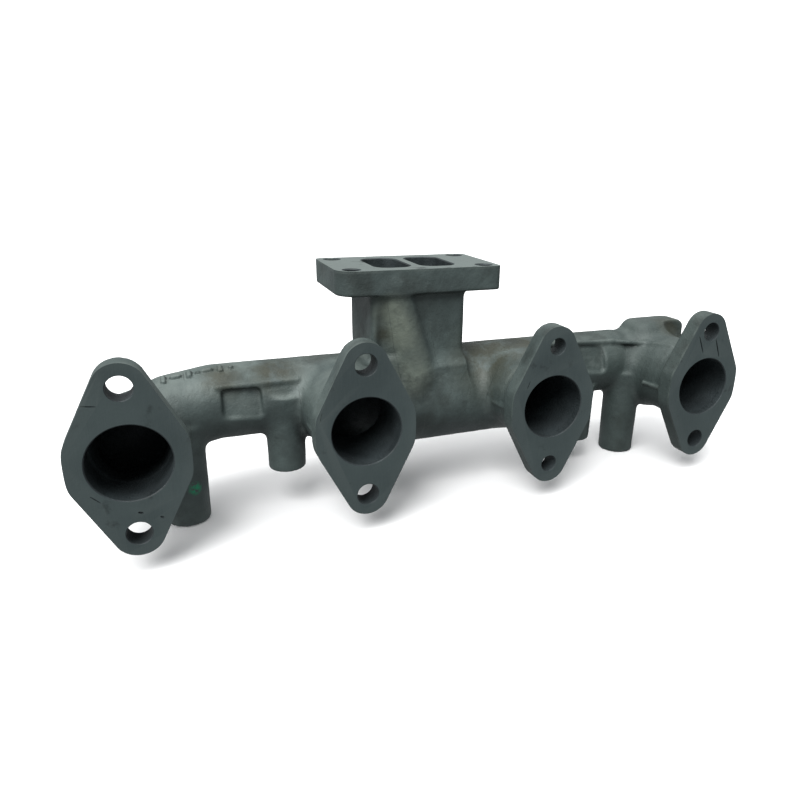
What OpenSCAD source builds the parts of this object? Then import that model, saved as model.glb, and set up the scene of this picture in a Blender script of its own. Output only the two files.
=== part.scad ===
// Exhaust manifold for a four-cylinder diesel with a divided turbocharger flange.
// Origin: mid-length, on the plane of the port faces, at port-centre height.
// +X runs along the row of ports, -Y points at the cylinder head, +Z points up.

/* [Ports] */
// Distance between neighbouring ports
port_pitch = 120; // [110:1:130]
// Diameter of each port
port_d = 40; // [34:0.5:42]
// Thickness of each port flange
flange_t = 12; // [10:0.5:14]
// Radius of the flange around the port
flange_r = 30; // [28:0.5:32]
// Distance from a port's axis to the flat on each side of its flange
flange_flat = 29; // [28:0.5:29.5]
// Radius of the flange's two ears
ear_r = 12.5; // [11:0.5:14]
// Distance between the two bolt holes of a flange
bolt_span = 77; // [74:0.5:80]
// Diameter of a clearance bolt hole
bolt_d = 12.5; // [11:0.1:13]
// Diameter of the tighter locating holes in flange 3
locating_d = 10.4; // [10.2:0.1:11]

/* [Galleries] */
// Wall thickness of every gas passage
wall = 6; // [5:0.5:7]
// Distance of the gallery's axis behind the port faces
log_y = 67; // [64:0.5:70]
// Height of the gallery's axis above the port centres
log_z = 4; // [2:0.5:6]
// Outer radius of the gallery between the ports
log_r = 22.5; // [21:0.5:24]
// Outer radius of a neck between flange and gallery
neck_r = 26.5; // [26:0.5:28]
// Outer radius of the round end elbows
elbow_r = 25; // [24:0.5:26]
// Distance of the elbow's centre behind the port faces
elbow_y = 60; // [58:0.5:62]
// Height of the elbow's centre
elbow_z = -7.5; // [-9:0.5:-6]
// Distance behind the port faces where the outer necks end
neck_end = 30; // [28:0.5:32]
// Radius of the collector's lower lobe
lobe_r = 26.5; // [25:0.5:28]
// Distance of the lower lobe's axis behind the port faces
lobe_y = 62; // [60:0.5:64]
// Height of the lower lobe's axis
lobe_z = -8; // [-10:0.5:-6]
// Half length of the collector
collector_half = 88; // [87:1:92]
// Half length of the lower lobe without its round ends
lobe_half = 54; // [50:1:58]

/* [Turbo flange] */
// Place of the flange's centre along the row
turbo_x = -11.5; // [-14:0.5:-8]
// Distance of the flange's centre behind the port faces
turbo_y = 70; // [68:0.5:72]
// Height of the gasket face
turbo_top = 82; // [80:0.5:86]
// Thickness of the flange
turbo_t = 15; // [12:0.5:16]
// Width of the flange
turbo_w = 104.5; // [103:0.5:107]
// Depth of the flange
turbo_d = 61; // [60:0.5:64]
// Radius of three of the flange's corners
turbo_corner = 4; // [3:0.5:6]
// Radius of the larger corner above port 2
turbo_big_corner = 12; // [8:0.5:13]
// Hole spacing across the flange's width
turbo_bolt_x = 85; // [84:0.5:87]
// Hole spacing across the flange's depth
turbo_bolt_y = 46; // [45:0.5:47]
// Diameter of the tapped holes
turbo_bolt_d = 10; // [8.5:0.1:10]
// Width of each gas window
window_w = 23; // [20:0.5:24]
// Depth of each gas window
window_d = 41; // [36:0.5:42]
// Corner radius of each gas window
window_r = 8; // [6:0.5:10]
// Thickness of the web that divides the two gas paths
web_t = 6; // [5:0.5:7]

/* [Riser] */
// Width of the riser
riser_w = 61; // [60:0.5:64]
// Distance of the riser's front face behind the port faces
riser_front = 45; // [44:0.5:46]
// Distance of the riser's back face behind the port faces
riser_back = 96; // [95:0.5:97]
// Corner radius of the riser
riser_corner = 10; // [8:0.5:12]
// Radius of the round column on the riser's front
column_r = 11; // [10:0.5:12]
// Distance of the column's axis behind the port faces
column_y = 51; // [50:0.5:52]
// Place of the column's top along the row
column_top_x = -27; // [-28:0.5:-25]
// Place of the column's foot along the row
column_foot_x = -11; // [-13:0.5:-8]
// Height of the column's foot
column_foot_z = 8; // [6:0.5:14]

/* [Posts] */
// Distance of the posts' axes behind the port faces
post_y = 55; // [54:0.5:56]
// Place of posts 2, 3 and 4 along the row; post 1 mirrors post 4
post_x = [-95.5, 115, 155.5];
// Height of each post's lower end
post_foot = [-38.5, -48.5, -63.5];
// Radius of each post at its lower end
post_foot_r = [11.2, 11.6, 12.3];
// Growth of each post's radius towards its root
post_taper = 1; // [0.5:0.1:1.5]

/* [End boss] */
// Place of the boss's near side along the row
boss_x = 161; // [158:0.5:162]
// Width of the boss
boss_w = 49; // [46:0.5:50]
// Height of the boss's top
boss_top = 33.5; // [32:0.5:35]
// Distance of the boss's front face behind the port faces
boss_front = 52; // [50:0.5:54]
// Distance of the boss's back face behind the port faces
boss_back = 78; // [76:0.5:80]
// Radius of the scallop that clears the bolt above port 4
scallop_r = 10; // [8:0.5:12]

/* [Hidden] */
$fn = 64;

port_r = port_d / 2;
log_axis = [log_y, log_z];
lobe_axis = [lobe_y, lobe_z];
elbow_x = 1.5 * port_pitch;
gallery_end = elbow_x - 30;
turbo_bottom = turbo_top - turbo_t;
riser_foot = log_z;
column_top_z = turbo_bottom;
boss_corner = 6;
over = 1;
// A strip's corners lie this far inside its circles
strip_inset = 0.02;

function port_x(i) = (i - 2.5) * port_pitch;

// The strip between two circles' outer tangents
module strip(a, ra, b, rb) {
    d = b - a;
    len = norm(d);
    heading = atan2(d.y, d.x);
    lean = acos((ra - rb) / len);
    function rim(c, r, side) =
        c + (r - strip_inset) * [cos(heading + side * lean), sin(heading + side * lean)];
    polygon([rim(a, ra, 1), rim(b, rb, 1), rim(b, rb, -1), rim(a, ra, -1)]);
}

module rounded_rect(w, d, r) {
    square([w - 2 * r, d], center = true);
    square([w, d - 2 * r], center = true);
    for (x = [-1, 1], y = [-1, 1]) translate([x * (w / 2 - r), y * (d / 2 - r)]) circle(r);
}

// Stand an outline drawn in X and Z up, and give it depth along Y
module along_y(from, to) {
    translate([0, to, 0]) rotate([90, 0, 0]) linear_extrude(to - from) children();
}

// Stand an outline drawn in Y and Z up, and give it length along X
module along_x(from, to) {
    translate([from, 0, 0]) rotate([90, 0, 90]) linear_extrude(to - from) children();
}

module along_z(from, to) {
    translate([0, 0, from]) linear_extrude(to - from) children();
}

// ---- Ports ----

module flange_plate() {
    intersection() {
        union() {
            along_y(0, flange_t) circle(flange_r);
            for (s = [-1, 1]) {
                ear = [0, s * bolt_span / 2];
                along_y(0, flange_t) strip([0, 0], flange_r, ear, ear_r);
                along_y(0, flange_t) translate(ear) circle(ear_r);
            }
        }
        translate([-flange_flat, -10, -90]) cube([2 * flange_flat, flange_t + 20, 180]);
    }
}

module port_bore(i, from, to) {
    translate([port_x(i), 0, 0]) along_y(from, to) circle(port_r);
}

module port_flange(i) {
    hole_d = i == 3 ? locating_d : bolt_d;
    color("dimgray") difference() {
        translate([port_x(i), 0, 0]) flange_plate();
        port_bore(i, -over, flange_t + over);
        for (s = [-1, 1]) translate([port_x(i), 0, s * bolt_span / 2])
            along_y(-over, flange_t + over) circle(d = hole_d);
    }
}

module port_neck(i) {
    outer = i == 1 || i == 4;
    reach = outer ? neck_end : elbow_y;
    color("slategray") difference() {
        translate([port_x(i), 0, 0]) along_y(flange_t, reach) circle(neck_r);
        port_bore(i, flange_t - over, reach + over);
        if (!outer) collector_solid();
    }
}

// ---- Galleries ----

module log_outline(cut) {
    translate(log_axis) circle(log_r - cut);
}

// The collector's lower lobe, which hangs below the gallery
module lobe(from, to, cut) {
    along_x(from, to) strip(log_axis, log_r - cut, lobe_axis, lobe_r - cut);
    along_x(from, to) translate(lobe_axis) circle(lobe_r - cut);
}

module rod(from, to, r) {
    d = to - from;
    translate(from) rotate([0, acos(d.z / norm(d)), atan2(d.y, d.x)])
        cylinder(h = norm(d), r = r);
}

// An end elbow dips towards its port; side is -1 behind port 1 and 1 behind port 4
module elbow_body(side, cut) {
    top = [side * gallery_end, log_y, log_z];
    foot = [side * elbow_x, elbow_y, elbow_z];
    mouth = [side * elbow_x, 0, -elbow_z];
    translate(foot) rotate([0, 0, 90 + 90 * side]) sphere(elbow_r - cut);
    difference() {
        union() {
            translate(top) rotate([0, 0, 90 + 90 * side]) sphere(log_r + 0.6 - cut);
            rod(top, foot, log_r - 0.4 - cut);
        }
        translate([side < 0 ? -gallery_end : gallery_end - 120, 0, -60]) cube(120);
    }
    difference() {
        rod(mouth, foot, elbow_r - 0.5 - cut);
        translate([-300, neck_end - 200, -100]) cube([600, 200, 200]);
    }
}

module end_elbow(side) {
    color("slategray") difference() {
        elbow_body(side, 0);
        elbow_body(side, wall);
        port_bore(2.5 + 1.5 * side, 0, neck_end + 10);
    }
}

module gallery_solid(from, to) {
    along_x(from, to) log_outline(0);
}

module gallery(from, to) {
    color("dimgray") difference() {
        gallery_solid(from, to);
        along_x(from - over, to + over) log_outline(wall);
    }
}

module collector_body(reach, cut) {
    along_x(-reach, reach) log_outline(cut);
    lobe(-lobe_half, lobe_half, cut);
    for (s = [-1, 1]) translate([s * lobe_half, lobe_y, lobe_z])
        rotate([0, 90, 0]) sphere(lobe_r - cut);
}

module collector_solid() {
    collector_body(collector_half, 0);
}

module collector_hollow() {
    collector_body(collector_half + over, wall);
}

module collector(from, to) {
    color("slategray") difference() {
        intersection() {
            collector_solid();
            translate([from, 0, -60]) cube([to - from, 120, 120]);
        }
        collector_hollow();
        for (i = [2, 3]) port_bore(i, 0, log_y);
        riser_hollow(riser_foot, turbo_bottom);
    }
}

// ---- Riser ----

module riser_outline() {
    translate([turbo_x, (riser_front + riser_back) / 2])
        rounded_rect(riser_w, riser_back - riser_front, riser_corner);
}

module riser_hollow(from, to) {
    along_z(from, to) translate([turbo_x, turbo_y])
        rounded_rect(2 * window_w + web_t, window_d, window_r);
}

module riser_duct(from, to) {
    color("lightslategray") difference() {
        along_z(riser_foot, turbo_bottom) intersection() {
            riser_outline();
            translate([from, 0]) square([to - from, 200]);
        }
        riser_hollow(riser_foot - over, turbo_bottom + over);
        collector_solid();
    }
}

module pulse_divider() {
    color("gray") intersection() {
        translate([turbo_x - web_t / 2, 0, -50]) cube([web_t, 120, turbo_bottom + 50]);
        union() {
            collector_hollow();
            riser_hollow(riser_foot, turbo_bottom);
        }
    }
}

module riser_column() {
    run = column_foot_x - column_top_x;
    drop = column_top_z - column_foot_z;
    reach = norm([run, drop]);
    color("lightslategray") difference() {
        translate([column_foot_x, column_y, column_foot_z]) rotate([0, -atan(run / drop), 0])
            translate([0, 0, -10]) cylinder(h = reach + 20, r = column_r);
        along_z(turbo_bottom, turbo_top) square(400, center = true);
        along_z(-100, column_foot_z) square(400, center = true);
        along_z(riser_foot, turbo_bottom) riser_outline();
        collector_solid();
        translate([port_x(2), 0, 0]) along_y(flange_t, elbow_y) circle(neck_r);
    }
}

// ---- Turbo flange ----

module turbo_plate() {
    big = [turbo_x - turbo_w / 2 + turbo_big_corner, turbo_y - turbo_d / 2 + turbo_big_corner];
    difference() {
        along_z(turbo_bottom, turbo_top) translate([turbo_x, turbo_y])
            rounded_rect(turbo_w, turbo_d, turbo_corner);
        along_z(turbo_bottom - over, turbo_top + over)
            translate(big - [turbo_big_corner, turbo_big_corner] * 2) square(2 * turbo_big_corner);
    }
    along_z(turbo_bottom, turbo_top) translate(big) circle(turbo_big_corner);
}

module turbo_flange() {
    color("darkslategray") difference() {
        turbo_plate();
        for (s = [-1, 1])
            along_z(turbo_bottom - over, turbo_top + over)
                translate([turbo_x + s * (window_w + web_t) / 2, turbo_y])
                    rounded_rect(window_w, window_d, window_r);
        for (x = [-1, 1], y = [-1, 1])
            translate([turbo_x + x * turbo_bolt_x / 2, turbo_y + y * turbo_bolt_y / 2,
                       turbo_bottom - over])
                cylinder(h = turbo_t + 2 * over, d = turbo_bolt_d);
    }
}

// ---- Posts and boss ----

module post(i) {
    foot = post_foot[i - 2];
    root = -2;
    color("dimgray") difference() {
        translate([post_x[i - 2], post_y, foot])
            cylinder(h = root - foot, r1 = post_foot_r[i - 2], r2 = post_foot_r[i - 2] + post_taper);
        gallery_solid(-elbow_x, elbow_x);
        if (i == 4) elbow_body(1, 0);
    }
}

module end_boss() {
    color("gray") difference() {
        along_z(log_z, boss_top)
            translate([boss_x + boss_w / 2, (boss_front + boss_back) / 2])
                rounded_rect(boss_w, boss_back - boss_front, boss_corner);
        translate([port_x(4) + scallop_r, boss_front, log_z])
            cylinder(h = boss_top, r = scallop_r);
        elbow_body(1, 0);
        gallery_solid(0, gallery_end);
    }
}

port_flange(1);  // port_flange_1
port_flange(2);  // port_flange_2
port_flange(3);  // port_flange_3
port_flange(4);  // port_flange_4
port_neck(1);  // port_neck_1
port_neck(2);  // port_neck_2
port_neck(3);  // port_neck_3
port_neck(4);  // port_neck_4
end_elbow(-1);  // end_elbow_1
gallery(-gallery_end, -collector_half);  // gallery_1_2
collector(-collector_half, turbo_x);  // collector_1_2
pulse_divider();
collector(turbo_x, collector_half);  // collector_3_4
gallery(collector_half, gallery_end);  // gallery_3_4
end_elbow(1);  // end_elbow_4
riser_duct(turbo_x - riser_w / 2, turbo_x);  // riser_duct_1_2
riser_duct(turbo_x, turbo_x + riser_w / 2);  // riser_duct_3_4
riser_column();
turbo_flange();
mirror([1, 0, 0]) post(4);  // post_1
post(2);  // post_2
post(3);  // post_3
post(4);  // post_4
end_boss();
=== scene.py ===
"""Cast-iron exhaust manifold for a four-cylinder diesel, as a studio scene.

The whole casting is one distance field, in millimetres in the row frame. It is meshed once, its machined
faces and holes are cut, and it is then divided at planes into one closed piece for each CAD node.
"""

import math

import bmesh
import bpy
import numpy as np
from mathutils import Matrix, Vector


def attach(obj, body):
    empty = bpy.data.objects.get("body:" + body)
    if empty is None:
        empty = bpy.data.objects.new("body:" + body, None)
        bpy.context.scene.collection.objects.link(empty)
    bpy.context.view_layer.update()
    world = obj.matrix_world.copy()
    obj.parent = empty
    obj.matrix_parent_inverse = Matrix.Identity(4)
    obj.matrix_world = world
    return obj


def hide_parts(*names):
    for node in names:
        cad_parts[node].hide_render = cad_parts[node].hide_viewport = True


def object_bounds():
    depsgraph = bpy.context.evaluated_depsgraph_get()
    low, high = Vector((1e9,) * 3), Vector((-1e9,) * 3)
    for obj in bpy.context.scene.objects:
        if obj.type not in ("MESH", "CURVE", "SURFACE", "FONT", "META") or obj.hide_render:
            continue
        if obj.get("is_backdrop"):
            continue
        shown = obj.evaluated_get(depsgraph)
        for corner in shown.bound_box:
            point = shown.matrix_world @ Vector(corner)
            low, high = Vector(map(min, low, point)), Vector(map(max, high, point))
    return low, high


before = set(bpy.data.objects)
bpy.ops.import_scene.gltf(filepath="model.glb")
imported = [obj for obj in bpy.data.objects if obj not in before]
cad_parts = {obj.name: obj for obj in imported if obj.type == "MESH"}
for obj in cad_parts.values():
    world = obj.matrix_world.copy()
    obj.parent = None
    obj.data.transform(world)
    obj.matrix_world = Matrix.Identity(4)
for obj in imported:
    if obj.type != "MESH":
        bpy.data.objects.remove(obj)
cad_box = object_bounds()

MM = 0.001
CELL = 1.2

# The port flanges and their holes
PORT_X = (-180.0, -60.0, 60.0, 180.0)
PORT_R = 20.0
BOLT_Z, BOLT_R, LOCATING_R = 38.5, 6.25, 5.2
FLANGE_T, FLANGE_R, FLANGE_FLAT, LOBE_R = 12.0, 30.0, 28.8, 12.5
NECK_R = 26.2

# The gallery, its two end elbows as (centre, radius), and the lower lobe in the middle
LOG_Y, LOG_Z, LOG_R = 67.0, 4.0, 22.4
LOG_END = 150.0
ELBOWS = (((-180.0, 57.0, -8.0), 23.4), ((180.0, 60.0, -4.0), 27.2))
LOBE_A, LOBE_B, MIDDLE_R = (-54, 62, -8), (54, 62, -8), 26.4
WALL = 6.0

# The riser, its column from top to foot, and the turbo flange with its windows and bolts
TURBO_X, TURBO_Y = -11.5, 70.0
TURBO_TOP, TURBO_BOTTOM = 82.0, 67.0
COLUMN_A, COLUMN_B = (-27.5, 50.5, 71.0), (-10.6, 50.0, 12.0)
WINDOW_X, TURBO_BOLT_X, TURBO_BOLT_Y = 14.5, 42.5, 23.0

# Each post's x, foot, radius, how high it runs up the gallery's front, and the height of its seam
POSTS = {
    "post_1": (-155.5, -63.2, 12.3, -3, -26),
    "post_2": (-95.5, -38.5, 11.2, 9, -17),
    "post_3": (115.0, -48.5, 11.6, -8, -18),
    "post_4": (155.5, -63.2, 12.3, -1, -26),
}
POST_Y = 55.0
BOSS_X = 187.0

# Seams between the pieces: past a flat face, behind the necks, and on both sides of the collector
SEAM = 0.4
NECK_END = 34
COLLECTOR_X = 88


# ---- Distance fields, in millimetres ----


class Points:
    """Arrays of x, y and z in millimetres, with the range of x, so that far shapes can be passed over."""

    def __init__(self, x, y, z):
        self.xyz = (x, y, z)
        self.low, self.high = float(x.min()), float(x.max())

    def __iter__(self):
        return iter(self.xyz)

    def __getitem__(self, i):
        return self.xyz[i]

    def near(self, x, reach):
        return self.low < x + reach and self.high > x - reach


def values_at(field, co):
    """The field at many points, worked out slice by slice along X."""
    order = np.argsort(co[:, 0])
    out = np.empty(len(co), np.float32)
    for i in range(0, len(co), 6000):
        pick = order[i : i + 6000]
        q = co[pick].astype(np.float32)
        out[pick] = field(Points(q[:, 0], q[:, 1], q[:, 2]))
    return out


def box2(u, v, hu, hv, r):
    """A rounded rectangle in the plane, with corner radius r."""
    du, dv = np.abs(u) - hu + r, np.abs(v) - hv + r
    outside = np.hypot(np.maximum(du, 0), np.maximum(dv, 0))
    return np.minimum(np.maximum(du, dv), 0) + outside - r


def extrude(d, w, half, r):
    """A plane shape d given thickness along w, with its edges rounded by r."""
    a, b = d + r, np.abs(w) - half + r
    return np.minimum(np.maximum(a, b), 0) + np.hypot(np.maximum(a, 0), np.maximum(b, 0)) - r


def cone2(u, v, r1, r2, h):
    """In the plane, the hull of a circle of radius r1 at the origin and one of radius r2 at (0, h)."""
    u = np.abs(u)
    b = (r1 - r2) / h
    a = math.sqrt(1 - b * b)
    k = -b * u + a * v
    d = a * u + b * v - r1
    d = np.where(k < 0, np.hypot(u, v) - r1, d)
    return np.where(k > a * h, np.hypot(u, v - h) - r2, d)


def capsule(p, a, b, ra, rb=None):
    """A rod from a to b, with round ends, whose radius goes from ra to rb."""
    d = [float(v - u) for u, v in zip(a, b)]
    q = [p[i] - float(a[i]) for i in range(3)]
    size = sum(v * v for v in d)
    t = np.clip((q[0] * d[0] + q[1] * d[1] + q[2] * d[2]) / size, 0, 1)
    r = ra if rb is None else ra + (rb - ra) * t
    return np.sqrt(sum((q[i] - t * d[i]) ** 2 for i in range(3))) - r


def ball(p, centre, r):
    """A sphere."""
    return np.sqrt(sum((p[i] - centre[i]) ** 2 for i in range(3))) - r


def join(a, b, k):
    """Both shapes, with a fillet of about k between them."""
    h = np.maximum(k - np.abs(a - b), 0) / k
    return np.minimum(a, b) - h * h * k / 4


def cut(a, b, k):
    """Shape a with b taken away, and a rounding of about k on the edge."""
    return -join(-a, b, k)


def ripple(p, size, seed):
    """A slow random swell between -1 and 1, from sums of waves."""
    rng = np.random.default_rng(seed)
    out = 0.0
    for _ in range(7):
        n = rng.normal(size=3)
        n *= rng.uniform(0.7, 1.5) * 2 * math.pi / size / np.linalg.norm(n)
        u, v, w = (float(c) for c in n)
        out = out + np.sin(u * p[0] + v * p[1] + w * p[2] + float(rng.uniform(0, 6.28)))
    return out / 7


def flange_outline(x, z):
    """Two lobes on a round middle with short flat sides."""
    upper = cone2(x, z, FLANGE_R, LOBE_R, BOLT_Z)
    lower = cone2(x, -z, FLANGE_R, LOBE_R, BOLT_Z)
    return cut(np.minimum(upper, lower), FLANGE_FLAT - np.abs(x), 1.5)


def flange(p, port):
    """A flange that reaches past Y = 0, where its face is milled later."""
    x, y, z = p
    outline = flange_outline(x - port, z)
    return extrude(outline, y - 4.0, FLANGE_T - 4.0, 1.6)


def neck(p, port):
    """A neck that widens towards the gallery, but dips and narrows behind the first port."""
    x, y, z = p
    if port != PORT_X[0]:
        flare = 0.0 if port == PORT_X[3] else 0.035
        radial = np.hypot(x - port, z) - (NECK_R + flare * np.clip(y, 0, 40))
        return extrude(radial, y - 30.0, 30.0, 2.0)
    behind = np.clip(y - 14, 0, 30)
    radial = np.hypot(x - port, z + 0.24 * behind) - (NECK_R - 0.11 * behind)
    return extrude(radial, y - 22.0, 22.0, 2.0)


def hanging_post(p, x0, foot, r, root):
    """A round post that hangs from the gallery and runs up its front as far as root."""
    x, y, z = p
    along = np.clip((z - foot) / (root - foot), 0, 1)
    radial = np.hypot(x - x0, y - POST_Y) - (r + along)
    return extrude(radial, z - (root + foot) / 2, (root - foot) / 2, 1.0)


def galleries(p):
    """The log that joins the ports, its two bent ends and the lower lobe in the middle."""
    left, right = (-134, LOG_Y, LOG_Z), (LOG_END, LOG_Y, LOG_Z)
    middle = (-158, 64.5, 0.8)
    d = capsule(p, left, right, LOG_R)
    d = np.minimum(d, capsule(p, left, middle, LOG_R))
    d = np.minimum(d, capsule(p, middle, (PORT_X[0], 58.5, -7.5), LOG_R, 22.0))
    d = np.minimum(d, capsule(p, right, (PORT_X[3], 58.5, -4.5), LOG_R))
    d = join(d, capsule(p, LOBE_A, LOBE_B, MIDDLE_R), 9)
    for centre, r in ELBOWS:
        if p.near(centre[0], 45):
            d = join(d, ball(p, centre, r), 6)
    return d


def parting_lines(p, d):
    """The mould's raised joint, along the gallery's front and on both sides of each neck."""
    for a, b in (
        ((-133, 49.6, 18.0), (-88, 49.6, 18.0)),
        ((88, 53.5, 24.0), (140, 52.6, 22.2)),
        ((140, 52.6, 22.2), (164, 44.5, 20.8)),
        ((164, 44.5, 20.8), (169.5, 24.0, 23.4)),
    ):
        if p.near((a[0] + b[0]) / 2, (b[0] - a[0]) / 2 + 6):
            d = join(d, capsule(p, a, b, 1.5), 2.5)
    for port in PORT_X:
        for side in (-1, 1):
            if p.near(port + side * 26, 6):
                a, b = (port + side * 25.9, 14, -2.5), (port + side * 26.3, 30, -3.5)
                d = join(d, capsule(p, a, b, 1.05), 1.5)
    return d


def pockets(p, d):
    """Two shallow hollows with leaning floors on the gallery's front, and a crease behind each flange."""
    x, y, z = p
    for cx, cz, hx, hz, depth in ((-120.5, 8.5, 11.0, 9.0, 48.6), (121.5, 12.0, 9.5, 9.0, 49.4)):
        if p.near(cx, 24):
            plan = box2(x - cx, z - cz + 0.10 * (x - cx), hx, hz, 3.5)
            floor_y = depth + 0.30 * np.clip(z - cz, -9, 9)
            d = cut(d, extrude(plan, y - floor_y + 12.0, 12.0, 2.0), 2.5)
    for port in PORT_X:
        if not p.near(port, 36):
            continue
        ring = np.hypot(np.hypot(x - port, z) - 28.6, y - 18.0) - 2.2
        d = cut(d, np.where(z > 0, ring, ring + 0.8), 1.5)
    return d


def skin_height(field, x, y):
    """How high the top of the field lies over one point of the plan."""
    low, high = 0.0, 60.0
    for _ in range(24):
        middle = (low + high) / 2
        inside = field(Points(*np.array([[x], [y], [middle]])))[0] < 0
        low, high = (middle, high) if inside else (low, middle)
    return low


def mark_rods():
    """Where the foundry marks lie: plain pips and bars in a row, with no letters."""
    rods = []
    for step, reach, across in (
        (0, 0, 2.2),
        (6, 1.8, 0),
        (12.5, 0, 2.2),
        (17, 0, 0),
        (21.5, 1.8, 0),
        (28, 0, 2.2),
        (33.5, 0, 0),
    ):
        ends = []
        for side in (-1, 1):
            x = -161.0 + 1.1 * step + side * (reach + 0.01)
            y = 59.5 + 0.05 * step + side * across
            ends.append((x, y, skin_height(galleries, x, y) + 0.3))
        rods.append(ends)
    return rods


MARKS = mark_rods()


def cast_marks(p, d):
    """The foundry marks, raised from the skin."""
    for a, b in MARKS:
        if p.near(a[0], 8):
            d = join(d, capsule(p, a, b, 1.55), 0.8)
    return d


def riser(p):
    """The riser, hollowed a little beside its column."""
    x, y, z = p
    plan = box2(x - TURBO_X, y - 70.5, 30.6, 25.4, 5.0)
    d = extrude(plan, z - 35.0, 36.0, 1.0)
    dish = box2(x + 30.0, z - 54.0, 9.0, 27.0, 6.0)
    return cut(d, extrude(dish, y - 36.0, 12.0, 4.0), 4.5)


def shoulder(p):
    """The ledge at the foot of the riser, beside the column."""
    x, y, z = p
    front = 42.2 + 0.8 * np.clip(z - 20, 0, 20)
    face = box2(x - 5.0, z - 6.0, 13.5, 18.5, 5.0)
    return np.maximum(face, np.maximum(front - y, y - 62.0))


def column(p):
    """The rod that slants down the riser's front."""
    return capsule(p, COLUMN_A, COLUMN_B, 10.2, 12.4)


def turbo_block(p):
    """The turbo flange with its wide rounding at the front left corner."""
    x, y, z = p
    plan = box2(x - TURBO_X, y - TURBO_Y, 52.1, 30.35, 4.0)
    rounded = np.hypot(np.minimum(x + 51.7, 0), np.minimum(y - 51.5, 0)) - 12.0
    plan = np.where((x < -51.7) & (y < 51.5), np.maximum(plan, rounded), plan)
    return extrude(plan, z - 78.0, 11.0, 1.4)


def boss(p):
    """The block on the right end, with a scoop that clears the flange's upper bolt."""
    x, y, z = p
    lean = 0.15 * np.clip(33 - z, 0, 20)
    plan = box2(x - 185.5 + lean, y - 63.5, 21.5 + lean, 13.5 + lean, 9.0)
    d = extrude(plan, z - 18.0, 15.2, 5.0)
    scoop = np.hypot(x - 197.0, y - 43.0) - 15.0
    return cut(d, np.maximum(scoop, 15.0 - z), 1.6)


def body(p):
    """The outside of the casting, with no passages in it."""
    d = galleries(p)
    for port in PORT_X:
        if p.near(port, 45):
            d = join(d, neck(p, port), 9)
    d = pockets(p, d)
    if p.near(TURBO_X, 60):
        d = join(d, riser(p), 9)
        d = join(d, shoulder(p), 7)
        to_left = (COLUMN_A[2] - p[2]) * 0.286 + COLUMN_A[0] - p[0]
        d = join(d, column(p), 2.5 + 6.5 * np.clip(to_left / 8.0, 0, 1))
    if p.near(BOSS_X, 40):
        d = join(d, boss(p), 9)
    for x0, foot, r, root, _ in POSTS.values():
        if p.near(x0, 25):
            d = join(d, hanging_post(p, x0, foot, r, root), 4.5)
    d = cast_marks(p, parting_lines(p, d))
    d = d + 0.20 * ripple(p, 34, 4) + 0.10 * ripple(p, 9, 5)
    for port in PORT_X:
        if p.near(port, 45):
            d = join(d, flange(p, port), 3.5)
    if p.near(TURBO_X, 70):
        d = join(d, turbo_block(p), 5)
    return d


def passages(p):
    """The hollow inside: four ports, the gallery, the lobe and the riser."""
    x, y, z = p
    ends = (-LOG_END, LOG_Y, LOG_Z), (LOG_END, LOG_Y, LOG_Z)
    d = capsule(p, *ends, LOG_R - WALL)
    for end, (centre, r) in zip(ends, ELBOWS):
        if p.near(centre[0], 50):
            bend = capsule(p, end, centre, LOG_R - WALL)
            d = join(np.minimum(d, bend), ball(p, centre, r - 5.6), 4)
    d = join(d, capsule(p, LOBE_A, LOBE_B, MIDDLE_R - WALL), 6)
    for port, reach in zip(PORT_X, (24.0, 66.0, 66.0, 60.0)):
        if p.near(port, 40):
            radial = np.hypot(x - port, z) - (PORT_R + 0.25)
            d = join(d, extrude(radial, y - (reach + 4) / 2, (reach - 4) / 2, 0.5), 4)
            if port == PORT_X[0]:
                d = join(d, capsule(p, (port, 20, -0.8), ELBOWS[0][0], 19.4, 17.6), 4)
    if p.near(TURBO_X, 45):
        plan = box2(x - TURBO_X, y - TURBO_Y, 26.2, 20.7, 8)
        d = join(d, extrude(plan, z - 34.0, 32.0, 0.5), 4)
    return d + 0.12 * ripple(p, 22, 8)


def casting(p):
    """The hollow casting, before any machining."""
    return cut(body(p), passages(p), 1.0)


# ---- From a field to a mesh ----


def grid(field, low, high, cell, block=4):
    """Samples the field, in full only in the blocks that the surface may cross."""
    sizes = [math.ceil((b - a) / cell / block) for a, b in zip(low, high)]
    axes = [a + cell * np.arange(n * block) for a, n in zip(low, sizes)]
    middles = [a + cell * (block * np.arange(n) + (block - 1) / 2) for a, n in zip(low, sizes)]
    centre = np.stack([m.ravel() for m in np.meshgrid(*middles, indexing="ij")], 1)
    rough = values_at(field, centre).reshape(sizes)
    values = rough
    for axis in range(3):
        values = np.repeat(values, block, axis=axis)
    live = np.abs(rough) < cell * block * 0.87 + 2.0
    where = np.argwhere(live) * block
    inner = np.stack([m.ravel() for m in np.meshgrid(*[np.arange(block)] * 3, indexing="ij")], 1)
    at = (where[:, None, :] + inner[None]).reshape(-1, 3)
    co = np.stack([axes[i][at[:, i]] for i in range(3)], 1)
    values[at[:, 0], at[:, 1], at[:, 2]] = values_at(field, co)
    return axes, values


def gradient(field, co, step=0.25):
    """The field and its slope at each point."""
    slope = np.empty_like(co)
    for i in range(3):
        shift = np.zeros(3)
        shift[i] = step
        slope[:, i] = (values_at(field, co + shift) - values_at(field, co - shift)) / (2 * step)
    return values_at(field, co), slope


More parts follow.
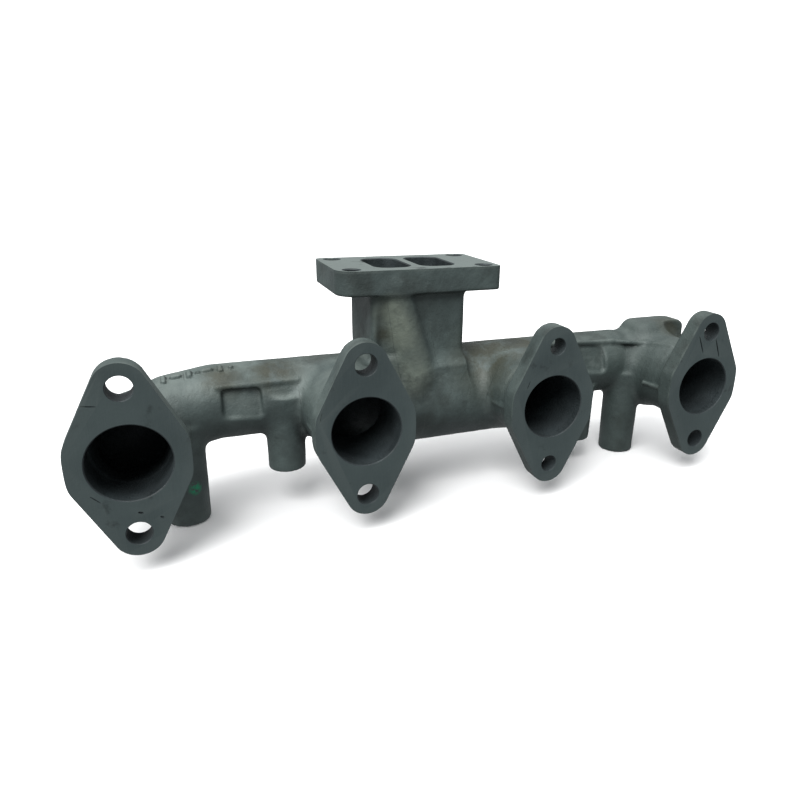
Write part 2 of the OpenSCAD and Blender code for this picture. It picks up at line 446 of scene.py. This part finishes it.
def settle(v):
    """Flips the weakest sample of each crossed pattern, so that the mesh never touches itself."""
    corner = [tuple((k >> i) & 1 for i in range(3)) for k in range(8)]
    for _ in range(12):
        flips = 0
        groups = []
        for axis in range(3):
            others = [k for k in range(3) if k != axis]
            face = []
            for a, b in ((0, 0), (1, 0), (1, 1), (0, 1)):
                step = [0, 0, 0]
                step[others[0]], step[others[1]] = a, b
                face.append(tuple(step))
            groups.append((face, [s - (1 if k != axis else 0) for k, s in enumerate(v.shape)]))
        for face, size in groups:
            parts = [v[tuple(slice(o, o + n) for o, n in zip(off, size))] for off in face]
            signs = [q < 0 for q in parts]
            bad = (signs[0] == signs[2]) & (signs[1] == signs[3]) & (signs[0] != signs[1])
            at = np.argwhere(bad)
            if len(at):
                found = np.stack([q[bad] for q in parts], 1)
                weakest = np.abs(found).argmin(1)
                place = at + np.array(face)[weakest]
                value = found[np.arange(len(at)), weakest]
                v[place[:, 0], place[:, 1], place[:, 2]] = np.where(value < 0, 1e-3, -1e-3)
                flips += len(at)
        size = [s - 1 for s in v.shape]
        parts = [v[tuple(slice(o, o + n) for o, n in zip(off, size))] < 0 for off in corner]
        count = sum(q.astype(np.int8) for q in parts)
        for k in range(4):
            for same, total in ((True, 2), (False, 6)):
                pair = (parts[k] == same) & (parts[7 - k] == same) & (count == total)
                for c in np.argwhere(pair):
                    ends = [tuple(c + np.array(corner[j])) for j in (k, 7 - k)]
                    weak = min(ends, key=lambda e: abs(v[e]))
                    v[weak] = 1e-3 if v[weak] < 0 else -1e-3
                    flips += 1
        if not flips:
            break
    return v


def surface_net(field, low, high, cell):
    """A closed quad mesh on the field's zero level, with one vertex in each crossed cell."""
    axes, v = grid(field, low, high, cell)
    v = settle(v)
    inside = v < 0
    shape = np.array(v.shape) - 1
    total = np.zeros(tuple(shape) + (3,), np.float32)
    count = np.zeros(tuple(shape), np.float32)
    crossing = {}
    for axis in range(3):
        a = [slice(None)] * 3
        b = [slice(None)] * 3
        a[axis], b[axis] = slice(0, -1), slice(1, None)
        va, vb = v[tuple(a)], v[tuple(b)]
        changed = inside[tuple(a)] != inside[tuple(b)]
        crossing[axis] = (changed, inside[tuple(a)])
        t = np.where(changed, va / np.where(changed, va - vb, 1), 0)
        others = [k for k in range(3) if k != axis]
        for s in (0, 1):
            for r in (0, 1):
                pick = [slice(None)] * 3
                pick[others[0]] = slice(s, s + shape[others[0]])
                pick[others[1]] = slice(r, r + shape[others[1]])
                hit = changed[tuple(pick)]
                count += hit
                total[..., axis] += np.where(hit, t[tuple(pick)], 0)
                total[..., others[0]] += hit * s
                total[..., others[1]] += hit * r
    used = count > 0
    index = np.full(tuple(shape), -1, np.int64)
    index[used] = np.arange(used.sum())
    where = np.argwhere(used)
    co = (where + total[used] / count[used][:, None]) * cell + np.array([a[0] for a in axes])
    quads = []
    for axis, (changed, first) in crossing.items():
        u, w = [(axis + 1) % 3, (axis + 2) % 3]
        e = np.argwhere(changed)
        keep = np.all([(e[:, k] > 0) & (e[:, k] < shape[k]) for k in (u, w)], axis=0)
        e = e[keep]
        corners = []
        for du, dw in ((-1, -1), (0, -1), (0, 0), (-1, 0)):
            c = e.copy()
            c[:, u] += du
            c[:, w] += dw
            corners.append(index[c[:, 0], c[:, 1], c[:, 2]])
        q = np.stack(corners, 1)
        flip = ~first[e[:, 0], e[:, 1], e[:, 2]]
        q[flip] = q[flip][:, ::-1]
        quads.append(q)
    for _ in range(2):
        here, slope = gradient(field, co)
        length = np.maximum((slope**2).sum(1), 0.2)
        move = slope * (here / length)[:, None]
        co = co - np.clip(move, -cell * 0.6, cell * 0.6)
    return co, np.concatenate(quads)


def mesh_object(name, co, faces):
    """An object from points in millimetres and faces of any size."""
    mesh = bpy.data.meshes.new(name)
    mesh.from_pydata((np.asarray(co) * MM).tolist(), [], [list(map(int, f)) for f in faces])
    mesh.validate()
    mesh.update()
    obj = bpy.data.objects.new(name, mesh)
    bpy.context.scene.collection.objects.link(obj)
    return obj


# ---- Cutting ----


def box_mesh(low, high, bm=None):
    """A block between two corners, in millimetres, in a new mesh or added to bm."""
    if bm is None:
        bm = bmesh.new()
    for v in bmesh.ops.create_cube(bm, size=1.0)["verts"]:
        v.co = Vector([(a if c < 0 else b) for c, a, b in zip(v.co, low, high)])
    return bm


def slab(x=(-240, 240), y=(-30, 130), z=(-90, 120)):
    """A block that reaches past the casting in each direction that isn't given."""
    return box_mesh((x[0], y[0], z[0]), (x[1], y[1], z[1]))


def rings_mesh(bm, rings):
    """Adds the closed skin through a row of rings, each a list of points, all of one length."""
    rows = [[bm.verts.new(c) for c in ring] for ring in rings]
    n = len(rows[0])
    faces = [bm.faces.new(rows[0][::-1]), bm.faces.new(rows[-1])]
    for a, b in zip(rows, rows[1:]):
        for i in range(n):
            j = (i + 1) % n
            faces.append(bm.faces.new((a[i], a[j], b[j], b[i])))
    bmesh.ops.recalc_face_normals(bm, faces=faces)


def round_hole(bm, centre, axis, profile, n=72):
    """A turned cutter: profile holds (distance along the axis, radius)."""
    rings = []
    for along, r in profile:
        ring = []
        for i in range(n):
            a = 2 * math.pi * i / n
            c, s = r * math.cos(a), r * math.sin(a)
            x, y, z = centre
            ring.append((x + c, along, z + s) if axis == "y" else (x + c, y + s, along))
        rings.append(ring)
    rings_mesh(bm, rings)


def window_hole(bm, cx, cy, profile):
    """A cutter for a gas window, 23 by 41 with corners of 8: profile holds (height, growth)."""
    rings = []
    for z, grow in profile:
        ring = []
        for sx, sy, start in ((1, 1, 0), (-1, 1, 90), (-1, -1, 180), (1, -1, 270)):
            for k in range(13):
                a = math.radians(start + 90 * k / 12)
                r = 8.0 + grow
                ring.append((cx + sx * 3.5 + r * math.cos(a), cy + sy * 12.5 + r * math.sin(a), z))
        rings.append(ring)
    rings_mesh(bm, rings)


def tool_object(bm):
    """An object from a cutter in millimetres, which is used up."""
    mesh = bpy.data.meshes.new("tool")
    bmesh.ops.scale(bm, vec=(MM, MM, MM), verts=bm.verts)
    bm.to_mesh(mesh)
    bm.free()
    obj = bpy.data.objects.new("tool", mesh)
    bpy.context.scene.collection.objects.link(obj)
    return obj


def boolean(obj, tool, how):
    """The mesh that is left after one boolean."""
    m = obj.modifiers.new("cut", "BOOLEAN")
    m.operation, m.object, m.solver = how, tool, "MANIFOLD"
    bpy.context.view_layer.update()
    mesh = bpy.data.meshes.new_from_object(obj.evaluated_get(bpy.context.evaluated_depsgraph_get()))
    obj.modifiers.clear()
    return mesh


def drop(obj):
    """Deletes an object and its mesh."""
    mesh = obj.data
    bpy.data.objects.remove(obj)
    bpy.data.meshes.remove(mesh)


def carve(obj, bm):
    """Takes the cutter away from obj."""
    tool = tool_object(bm)
    old = obj.data
    obj.data = boolean(obj, tool, "DIFFERENCE")
    bpy.data.meshes.remove(old)
    drop(tool)


def split(obj, bm):
    """Takes out of obj what lies in the cutter, and returns it as an object of its own."""
    tool = tool_object(bm)
    inner = boolean(obj, tool, "INTERSECT")
    old = obj.data
    obj.data = boolean(obj, tool, "DIFFERENCE")
    bpy.data.meshes.remove(old)
    drop(tool)
    piece = bpy.data.objects.new("piece", inner)
    bpy.context.scene.collection.objects.link(piece)
    return piece


def by_place(obj, places):
    """Divides a mesh of loose shells among names, each to the nearest place along X."""
    bm = bmesh.new()
    bm.from_mesh(obj.data)
    seen, owner = set(), {}
    names = list(places)
    for seed in bm.verts:
        if seed in seen:
            continue
        stack, shell = [seed], []
        seen.add(seed)
        while stack:
            v = stack.pop()
            shell.append(v)
            for e in v.link_edges:
                w = e.other_vert(v)
                if w not in seen:
                    seen.add(w)
                    stack.append(w)
        middle = sum(v.co.x for v in shell) / len(shell) / MM
        best = min(range(len(names)), key=lambda i: abs(places[names[i]] - middle))
        for v in shell:
            owner[v.index] = best
    bm.free()
    vert_owner = np.array([owner[i] for i in range(len(obj.data.vertices))])
    out = {}
    for k, name in enumerate(names):
        bm = bmesh.new()
        bm.from_mesh(obj.data)
        bm.verts.ensure_lookup_table()
        gone = [bm.verts[int(i)] for i in np.nonzero(vert_owner != k)[0]]
        bmesh.ops.delete(bm, geom=gone, context="VERTS")
        mesh = bpy.data.meshes.new(name)
        bm.to_mesh(mesh)
        bm.free()
        out[name] = bpy.data.objects.new(name, mesh)
        bpy.context.scene.collection.objects.link(out[name])
    drop(obj)
    return out


def machine(whole):
    """The two milled planes, then the port bores, bolt holes, gas windows and tapped holes."""
    carve(whole, slab(y=(-30, 0)))
    carve(whole, slab(z=(TURBO_TOP, 120)))
    tools = bmesh.new()
    for number, port in enumerate(PORT_X, 1):
        bore = ((-1, PORT_R + 1.6), (0.5, PORT_R), (9.0, PORT_R))
        round_hole(tools, (port, 0, 0), "y", bore, 128)
        r = LOCATING_R if number == 3 else BOLT_R
        for side in (-1, 1):
            hole = ((-1, r + 1.3), (0.3, r), (18.0, r))
            round_hole(tools, (port, 0, side * BOLT_Z), "y", hole)
    for side in (-1, 1):
        window_hole(tools, TURBO_X + side * WINDOW_X, TURBO_Y, ((61, 0), (81.4, 0), (83, 1.6)))
        for back in (-1, 1):
            place = (TURBO_X + side * TURBO_BOLT_X, TURBO_Y + back * TURBO_BOLT_Y, 0)
            round_hole(tools, place, "z", thread_profile(), 48)
    carve(whole, tools)


def thread_profile(pitch=1.5, inner=4.35, outer=5.0):
    """The turns of a tapped hole and the chamfer at its mouth."""
    profile = [(58.0, 4.5)]
    for turn in range(15):
        profile += [(60.2 + pitch * turn, inner), (60.9 + pitch * turn, outer)]
    return [t for t in profile if t[0] < 80.9] + [(81.2, 4.9), (83, 6.7)]


def scratch(whole):
    """Grooves, pits and nicks in the flange faces: each one's two ends (x, z), width and depth."""
    tools = bmesh.new()
    for x0, z0, x1, z1, width, depth in (
        (170.6, 35.0, 174.8, 25.5, 1.6, 0.45),
        (185.2, 32.4, 189.6, 21.5, 1.5, 0.45),
        (-197.0, 31.7, -191.0, 30.9, 0.5, 0.3),
        (-178.6, -27.0, -177.6, -27.4, 0.9, 0.6),
        (-168.9, -31.3, -168.1, -31.8, 0.8, 0.6),
        (-199.0, -14.6, -195.2, -18.4, 0.5, 0.3),
        (40.5, 14.0, 42.0, 18.0, 0.5, 0.3),
        (-86.0, 9.0, -85.0, 14.0, 0.4, 0.3),
    ):
        a, b = Vector((x0, 0, z0)), Vector((x1, 0, z1))
        stretch = Matrix.Diagonal((width, depth, (b - a).length / 2 + width, 1))
        tilt = (b - a).to_track_quat("Z", "Y").to_matrix().to_4x4()
        place = Matrix.Translation((a + b) / 2) @ tilt @ stretch
        bmesh.ops.create_uvsphere(tools, u_segments=16, v_segments=10, radius=1.0, matrix=place)
    carve(whole, tools)


def divide(whole):
    """One closed piece for each part of the casting, by name."""
    pieces = {"turbo_flange": split(whole, slab(z=(TURBO_BOTTOM - SEAM, 120)))}
    fronts = split(whole, slab(y=(-30, FLANGE_T + SEAM)))
    pieces.update(by_place(fronts, {f"port_flange_{i}": x for i, x in enumerate(PORT_X, 1)}))
    necks = split(whole, slab(y=(-30, NECK_END)))
    pieces.update(by_place(necks, {f"port_neck_{i}": x for i, x in enumerate(PORT_X, 1)}))
    tools = bmesh.new()
    for x0, *_, seam_z in POSTS.values():
        box_mesh((x0 - 16, 35, -80), (x0 + 16, 75, seam_z), tools)
    posts = split(whole, tools)
    pieces.update(by_place(posts, {name: row[0] for name, row in POSTS.items()}))
    pieces["end_boss"] = split(whole, slab((162, 240), (35, 84), (22, 60)))
    slope = slab((-13, 13), (30, 45.2), (13, 75))
    for v in slope.verts:
        v.co.x += -12.0 - 10.5 * (v.co.z - 10) / 64
    pieces["riser_column"] = split(whole, slope)
    duct = split(whole, slab((-60, 40), (30, 120), (31, 75)))
    pieces["riser_duct_1_2"] = split(duct, slab((-90, TURBO_X)))
    pieces["riser_duct_3_4"] = duct
    for name, edge in (
        ("end_elbow_1", -LOG_END),
        ("gallery_1_2", -COLLECTOR_X),
        ("collector_1_2", TURBO_X),
        ("collector_3_4", COLLECTOR_X),
        ("gallery_3_4", LOG_END),
    ):
        pieces[name] = split(whole, slab((-240, edge)))
    pieces["end_elbow_4"] = whole
    return pieces


def divider_field(p):
    """The wall inside the riser that keeps the two gas streams apart."""
    return cut(passages(p) - 0.4, 3.0 - np.abs(p[0] - TURBO_X), 0.6)


whole = mesh_object("whole", *surface_net(casting, (-214, -6, -68), (214, 106, 92), CELL))
machine(whole)
scratch(whole)
pieces = divide(whole)
net = surface_net(divider_field, (-18, 30, -34), (-5, 98, 70), 0.9)
pieces["pulse_divider"] = mesh_object("pulse_divider", *net)


# ---- Shading data and materials ----


def solid_field(p):
    """The casting with its machined faces, which the normals and the shading data follow."""
    return np.maximum(np.maximum(casting(p), -p[1]), p[2] - TURBO_TOP)


STAINS = (  # the centre and size of each oily patch
    (-101.0, 55.0, 25.0, 14.0),
    (-130.0, 54.0, 22.0, 11.0),
    (-35.0, 47.0, 42.0, 5.0),
    (40.0, 50.0, 22.0, 28.0),
    (64.0, 56.0, 20.0, 24.0),
    (195.0, 52.0, 26.0, 15.0),
    (-60.0, 84.0, 10.0, 26.0),
    (120.0, 80.0, 0.0, 22.0),
)


def shade(obj, field):
    """Smooth normals from the field where the skin is cast, and four attributes for the materials."""
    mesh = obj.data
    mesh.polygons.foreach_set("use_smooth", np.ones(len(mesh.polygons), bool))
    mesh.set_sharp_from_angle(angle=math.radians(32))
    co = np.zeros(len(mesh.vertices) * 3)
    mesh.vertices.foreach_get("co", co)
    co = co.reshape(-1, 3) / MM
    here, slope = gradient(field, co, 0.5)
    slope /= np.maximum(np.linalg.norm(slope, axis=1), 1e-6)[:, None]
    corner_vert = np.zeros(len(mesh.loops), np.int64)
    mesh.loops.foreach_get("vertex_index", corner_vert)
    corner = np.zeros(len(mesh.loops) * 3)
    mesh.corner_normals.foreach_get("vector", corner)
    corner = corner.reshape(-1, 3)
    face = np.zeros(len(mesh.polygons) * 3)
    mesh.polygons.foreach_get("normal", face)
    sizes = np.zeros(len(mesh.polygons), np.int64)
    mesh.polygons.foreach_get("loop_total", sizes)
    face = np.repeat(face.reshape(-1, 3), sizes, axis=0)
    agree = (slope[corner_vert] * face).sum(1) > math.cos(math.radians(28))
    corner[agree] = slope[corner_vert][agree]
    mesh.normals_split_custom_set(corner.tolist())
    normal = np.zeros(len(mesh.vertices) * 3)
    mesh.vertices.foreach_get("normal", normal)
    normal = normal.reshape(-1, 3)
    # Painted shade: how closed in each point is, used to darken creases and recesses.
    painted_cavity_shade = np.zeros(len(co))
    for reach, weight in ((2.5, 0.35), (6.0, 0.35), (13.0, 0.30)):
        q = co + normal * reach
        away = values_at(field, q) - here
        painted_cavity_shade += weight * np.clip(1 - away / reach, 0, 1)
    q = co - normal * 2.0
    deep = here - values_at(field, q)
    edge = np.clip(1 - deep / 2.0, 0, 1)
    stain = np.zeros(len(co))
    for cx, cy, cz, size in STAINS:
        away = np.sqrt((co[:, 0] - cx) ** 2 + (co[:, 1] - cy) ** 2 + (co[:, 2] - cz) ** 2)
        stain = np.maximum(stain, np.clip(1.4 - away / size, 0, 1))
    # Painted highlight: a lighter band down the left front of the riser column, where the light falls.
    lit = capsule(co.T, (-31.0, 42.0, 56.0), (-17.0, 38.0, 16.0), 1.0, 1.0)
    painted_column_highlight = np.clip(1.4 - lit / 10.0, 0, 1)
    for name, values in (("painted_cavity_shade", painted_cavity_shade), ("edge", edge), ("stain", stain), ("painted_column_highlight", painted_column_highlight)):
        layer = mesh.attributes.new(name, "FLOAT", "POINT")
        layer.data.foreach_set("value", values.astype(np.float32))


class Nodes:
    """A short way to write a node tree."""

    def __init__(self, name):
        self.mat = bpy.data.materials.new(name)
        self.mat.use_nodes = True
        self.tree = self.mat.node_tree
        self.tree.nodes.clear()
        self.out = self.add("ShaderNodeOutputMaterial")
        self.bsdf = self.add("ShaderNodeBsdfPrincipled")
        self.link(self.bsdf.outputs[0], self.out.inputs["Surface"])
        self.coords = self.add("ShaderNodeTexCoord").outputs["Object"]

    def add(self, kind, **values):
        node = self.tree.nodes.new(kind)
        for key, value in values.items():
            setattr(node, key, value)
        return node

    def link(self, a, b):
        self.tree.links.new(a, b)

    def put(self, socket, value):
        if isinstance(value, bpy.types.NodeSocket):
            self.link(value, socket)
        else:
            socket.default_value = value

    def noise(self, scale, detail=4.0, rough=0.55, stretch=(1, 1, 1), shift=0.0):
        move = self.add("ShaderNodeMapping")
        move.inputs["Scale"].default_value = stretch
        move.inputs["Location"].default_value = (shift, shift, shift)
        self.link(self.coords, move.inputs["Vector"])
        node = self.add("ShaderNodeTexNoise")
        node.inputs["Scale"].default_value = scale
        node.inputs["Detail"].default_value = detail
        node.inputs["Roughness"].default_value = rough
        self.link(move.outputs[0], node.inputs["Vector"])
        return node.outputs["Fac"]

    def span(self, value, low, high, to_low=0.0, to_high=1.0):
        node = self.add("ShaderNodeMapRange")
        node.clamp = True
        self.put(node.inputs["Value"], value)
        for key, number in (
            ("From Min", low),
            ("From Max", high),
            ("To Min", to_low),
            ("To Max", to_high),
        ):
            node.inputs[key].default_value = number
        return node.outputs["Result"]

    def math(self, how, a, b):
        node = self.add("ShaderNodeMath", operation=how)
        self.put(node.inputs[0], a)
        self.put(node.inputs[1], b)
        return node.outputs[0]

    def mix(self, share, a, b):
        node = self.add("ShaderNodeMix", data_type="RGBA")
        self.put(node.inputs[0], share)
        for socket, value in ((node.inputs[6], a), (node.inputs[7], b)):
            self.put(socket, value if isinstance(value, bpy.types.NodeSocket) else (*value, 1.0))
        return node.outputs[2]

    def lay(self, colour, over, *shares):
        """One colour laid over another by the product of the shares."""
        share = shares[0]
        for s in shares[1:]:
            share = self.math("MULTIPLY", share, s)
        return self.mix(share, colour, over)

    def attribute(self, name):
        return self.add("ShaderNodeAttribute", attribute_name=name).outputs["Fac"]

    def bump(self, height, distance, strength=1.0, under=None):
        node = self.add("ShaderNodeBump")
        node.inputs["Strength"].default_value = strength
        node.inputs["Distance"].default_value = distance
        self.link(height, node.inputs["Height"])
        if under is not None:
            self.link(under, node.inputs["Normal"])
        return node.outputs[0]


def spot(n, centre, radius):
    """1 at a point of the casting, in millimetres, falling to 0 at the radius."""
    node = n.add("ShaderNodeVectorMath", operation="DISTANCE")
    n.link(n.coords, node.inputs[0])
    node.inputs[1].default_value = [c * MM for c in centre]
    return n.span(node.outputs["Value"], radius * MM * 0.35, radius * MM, 1.0, 0.0)


def facing(n, low, high, to_low, to_high):
    """A value that goes with how far the surface looks up."""
    parts = n.add("ShaderNodeSeparateXYZ")
    n.link(n.add("ShaderNodeNewGeometry").outputs["Normal"], parts.inputs[0])
    return n.span(parts.outputs["Z"], low, high, to_low, to_high)


def cast_iron():
    """Dark green-grey sand-cast iron with oily olive stains, rubbed high spots, painted shade in hollows
    and underneath, painted top light mixed with dust, and a painted highlight on the riser column.
    """
    n = Nodes("cast_iron")
    broad = n.span(n.noise(24, 4), 0.36, 0.64)
    fine = n.span(n.noise(170, 5, 0.6), 0.34, 0.66)
    colour = n.mix(broad, (0.044, 0.061, 0.059), (0.076, 0.102, 0.097))
    colour = n.lay(colour, (0.028, 0.038, 0.036), fine, 0.35)
    # Lighter upward faces: partly dust, partly painted top light.
    dust_and_top_light = n.span(n.noise(48, 4, shift=6.0), 0.35, 0.6)
    colour = n.lay(colour, (0.125, 0.150, 0.138), facing(n, 0.0, 0.9, 0.0, 0.6), dust_and_top_light)
    # Painted shade: darker where the surface faces down.
    colour = n.lay(colour, (0.013, 0.019, 0.018), facing(n, -0.9, 0.0, 0.65, 0.0))
    # Painted highlight on the riser column, broken up by noise.
    column_highlight_breakup = n.span(n.noise(36, 4, shift=12.0), 0.30, 0.55, 0.45, 1.0)
    colour = n.lay(colour, (0.165, 0.190, 0.152), n.attribute("painted_column_highlight"), column_highlight_breakup, 0.75)
    along = n.add("ShaderNodeSeparateXYZ")
    n.link(n.coords, along.inputs[0])
    colour = n.lay(colour, (0.030, 0.043, 0.039), n.span(along.outputs["X"], 0.02, 0.15, 0.0, 0.55))
    oil = n.span(n.noise(70, 5, 0.65, shift=3.7), 0.32, 0.52)
    colour = n.lay(colour, (0.034, 0.036, 0.022), n.attribute("stain"), oil, 0.85)
    blotch = n.span(n.noise(34, 5, 0.6, shift=9.1), 0.54, 0.66)
    colour = n.lay(colour, (0.022, 0.029, 0.026), blotch, 0.6)
    # Painted shade in creases and recesses.
    colour = n.lay(colour, (0.010, 0.015, 0.014), n.span(n.attribute("painted_cavity_shade"), 0.22, 0.75, 0.0, 0.85))
    rub = n.span(n.noise(90, 3), 0.4, 0.6)
    colour = n.lay(colour, (0.120, 0.145, 0.135), n.span(n.attribute("edge"), 0.10, 0.45), rub, 0.35)
    dab = n.span(n.noise(420, 2, shift=1.0), 0.40, 0.55)
    colour = n.lay(colour, (0.005, 0.215, 0.105), spot(n, (-150.6, 42.6, -39.5), 5.0), dab)
    n.link(colour, n.bsdf.inputs["Base Color"])
    rough = n.span(n.noise(60, 4, shift=1.3), 0.3, 0.7, 0.50, 0.68)
    n.link(rough, n.bsdf.inputs["Roughness"])
    n.bsdf.inputs["Metallic"].default_value = 0.2
    grain = n.bump(n.noise(850, 5, 0.65), 0.0005, 0.5)
    swell = n.bump(n.noise(230, 3, 0.5), 0.0010, 0.4, grain)
    n.link(swell, n.bsdf.inputs["Normal"])
    return n.mat


def machined_iron():
    """Faced iron under a thin dark film, painted lighter on top as top light, with faint milling marks
    and a few stains.
    """
    n = Nodes("machined_iron")
    marks = n.noise(260, 2, 0.5, stretch=(9, 9, 0.3))
    broad = n.span(n.noise(26, 4, shift=5.1), 0.35, 0.65)
    colour = n.mix(broad, (0.040, 0.056, 0.057), (0.054, 0.074, 0.074))
    colour = n.lay(colour, (0.085, 0.108, 0.106), n.span(marks, 0.35, 0.65, 0.0, 0.14))
    # Painted top light: lighter where the faced surface looks up.
    colour = n.lay(colour, (0.165, 0.196, 0.184), facing(n, 0.2, 0.9, 0.0, 0.7))
    stain = n.span(n.noise(60, 5, 0.65, shift=8.2), 0.60, 0.68)
    colour = n.lay(colour, (0.016, 0.022, 0.022), stain, 0.65)
    colour = n.lay(colour, (0.11, 0.13, 0.125), n.span(n.attribute("edge"), 0.15, 0.6, 0.0, 0.35))
    n.link(colour, n.bsdf.inputs["Base Color"])
    rough = n.span(n.noise(40, 4, shift=2.4), 0.3, 0.7, 0.44, 0.60)
    n.link(rough, n.bsdf.inputs["Roughness"])
    n.bsdf.inputs["Metallic"].default_value = 0.3
    lines = n.bump(marks, 0.0002, 0.2)
    n.link(n.bump(n.noise(700, 4, 0.6), 0.0003, 0.35, lines), n.bsdf.inputs["Normal"])
    return n.mat


def bore_iron():
    """The sooty skin inside the gas passages and the holes."""
    n = Nodes("bore_iron")
    soot = n.span(n.noise(50, 5), 0.35, 0.65)
    n.link(n.mix(soot, (0.018, 0.024, 0.026), (0.034, 0.045, 0.048)), n.bsdf.inputs["Base Color"])
    n.link(n.span(n.noise(80, 3, shift=4.0), 0.3, 0.7, 0.5, 0.7), n.bsdf.inputs["Roughness"])
    n.bsdf.inputs["Metallic"].default_value = 0.3
    n.link(n.bump(n.noise(600, 5, 0.65), 0.0006, 0.6), n.bsdf.inputs["Normal"])
    return n.mat


iron, faced, sooty = cast_iron(), machined_iron(), bore_iron()


def paint(obj):
    """Faced iron on the two milled planes, soot in the passages and holes, cast skin elsewhere."""
    mesh = obj.data
    mesh.materials.clear()
    for mat in (iron, faced, sooty):
        mesh.materials.append(mat)
    n = len(mesh.polygons)
    centre, normal = np.zeros(n * 3), np.zeros(n * 3)
    mesh.polygons.foreach_get("center", centre)
    mesh.polygons.foreach_get("normal", normal)
    c, normal = centre.reshape(-1, 3) / MM, normal.reshape(-1, 3)
    index = np.zeros(n, np.int32)
    index[values_at(body, c) < -2.5] = 2
    flat = ((c[:, 1] < 0.02) & (normal[:, 1] < -0.9)) | (
        (c[:, 2] > TURBO_TOP - 0.02) & (normal[:, 2] > 0.9)
    )
    index[flat] = 1
    mesh.polygons.foreach_set("material_index", index)


SLOTS = {"turbo_flange": "machined_iron", "pulse_divider": "inner_iron"}
for name, obj in pieces.items():
    obj.name = obj.data.name = name + "_casting"
    if name == "pulse_divider":
        shade(obj, divider_field)
    else:
        shade(obj, solid_field)
    paint(obj)
    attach(obj, "root")
    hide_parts(name)
    machined = name.startswith("port_flange")
    SLOTS.get(name, "machined_iron" if machined else "cast_iron")


# ---- Studio ----


def plain(name, colour, roughness):
    """A material of one colour, for the floor."""
    mat = bpy.data.materials.new(name)
    mat.use_nodes = True
    shader = mat.node_tree.nodes["Principled BSDF"]
    shader.inputs["Base Color"].default_value = (*colour, 1.0)
    shader.inputs["Roughness"].default_value = roughness
    return mat


def turned_bowl(name, profile, n=96):
    """A wide shallow bowl round the object: profile holds (radius, height) from the middle out."""
    bm = bmesh.new()
    middle = bm.verts.new((0, 0, profile[0][1]))
    turns = [k * math.tau / n for k in range(n)]
    rows = []
    for r, h in profile[1:]:
        rows.append([bm.verts.new((r * math.cos(a), r * math.sin(a), h)) for a in turns])
    for k in range(n):
        bm.faces.new((middle, rows[0][k], rows[0][(k + 1) % n]))
    for inner, outer in zip(rows, rows[1:]):
        for k in range(n):
            j = (k + 1) % n
            bm.faces.new((inner[k], outer[k], outer[j], inner[j]))
    mesh = bpy.data.meshes.new(name)
    bm.to_mesh(mesh)
    bm.free()
    mesh.polygons.foreach_set("use_smooth", np.ones(len(mesh.polygons), bool))
    obj = bpy.data.objects.new(name, mesh)
    bpy.context.scene.collection.objects.link(obj)
    return obj


floor_z = cad_box[0][2]
curve = [(0, floor_z), (2.0, floor_z)]
for a in np.linspace(0.1, 1.2, 12):
    curve.append((2.0 + 2.0 * math.sin(a), floor_z + 2.0 - 2.0 * math.cos(a)))
floor = turned_bowl("studio_floor", curve)
floor.data.materials.append(plain("studio_floor", (0.9, 0.9, 0.9), 0.9))
floor.visible_diffuse = False
floor.visible_glossy = False
floor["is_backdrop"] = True

world = bpy.data.worlds.new("studio")
bpy.context.scene.world = world
world.use_nodes = True
world.node_tree.nodes["Background"].inputs["Color"].default_value = (0.95, 0.98, 1.0, 1.0)
world.node_tree.nodes["Background"].inputs["Strength"].default_value = 0.45
bpy.context.scene.view_settings.view_transform = "Standard"


def soft_sun(name, direction, power, angle):
    """A very wide, soft sun, so that the floor is lit evenly."""
    data = bpy.data.lights.new(name, "SUN")
    data.energy, data.angle = power, math.radians(angle)
    obj = bpy.data.objects.new(name, data)
    bpy.context.scene.collection.objects.link(obj)
    obj.rotation_euler = Vector(direction).to_track_quat("-Z", "Y").to_euler()


soft_sun("key", (0.50, 0.42, -0.76), 3.6, 40)
soft_sun("overhead", (0.0, -0.1, -1.0), 2.2, 70)

camera = bpy.data.objects.new("camera", bpy.data.cameras.new("camera"))
bpy.context.scene.collection.objects.link(camera)
bpy.context.scene.camera = camera
camera.data.sensor_width = 36.0
camera.data.lens = 29.81
camera.data.shift_x, camera.data.shift_y = -0.0493, -0.0067
camera.data.clip_start = 0.01
AZIMUTH, ELEVATION, ROLL = 23.21, 19.21, 1.297
yaw, pitch = math.radians(AZIMUTH), math.radians(ELEVATION)
forward = Vector((math.sin(yaw) * math.cos(pitch), math.cos(yaw) * math.cos(pitch), -math.sin(pitch)))
turn = forward.to_track_quat("-Z", "Y").to_matrix() @ Matrix.Rotation(math.radians(ROLL), 3, "Z")
camera.matrix_world = Matrix.Translation((-0.1574, -0.3271, 0.1409)) @ turn.to_4x4()

visual_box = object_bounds()
({
        "cad": [[float(v) for v in c] for c in cad_box],
        "visual": [[float(v) for v in c] for c in visual_box],
    })
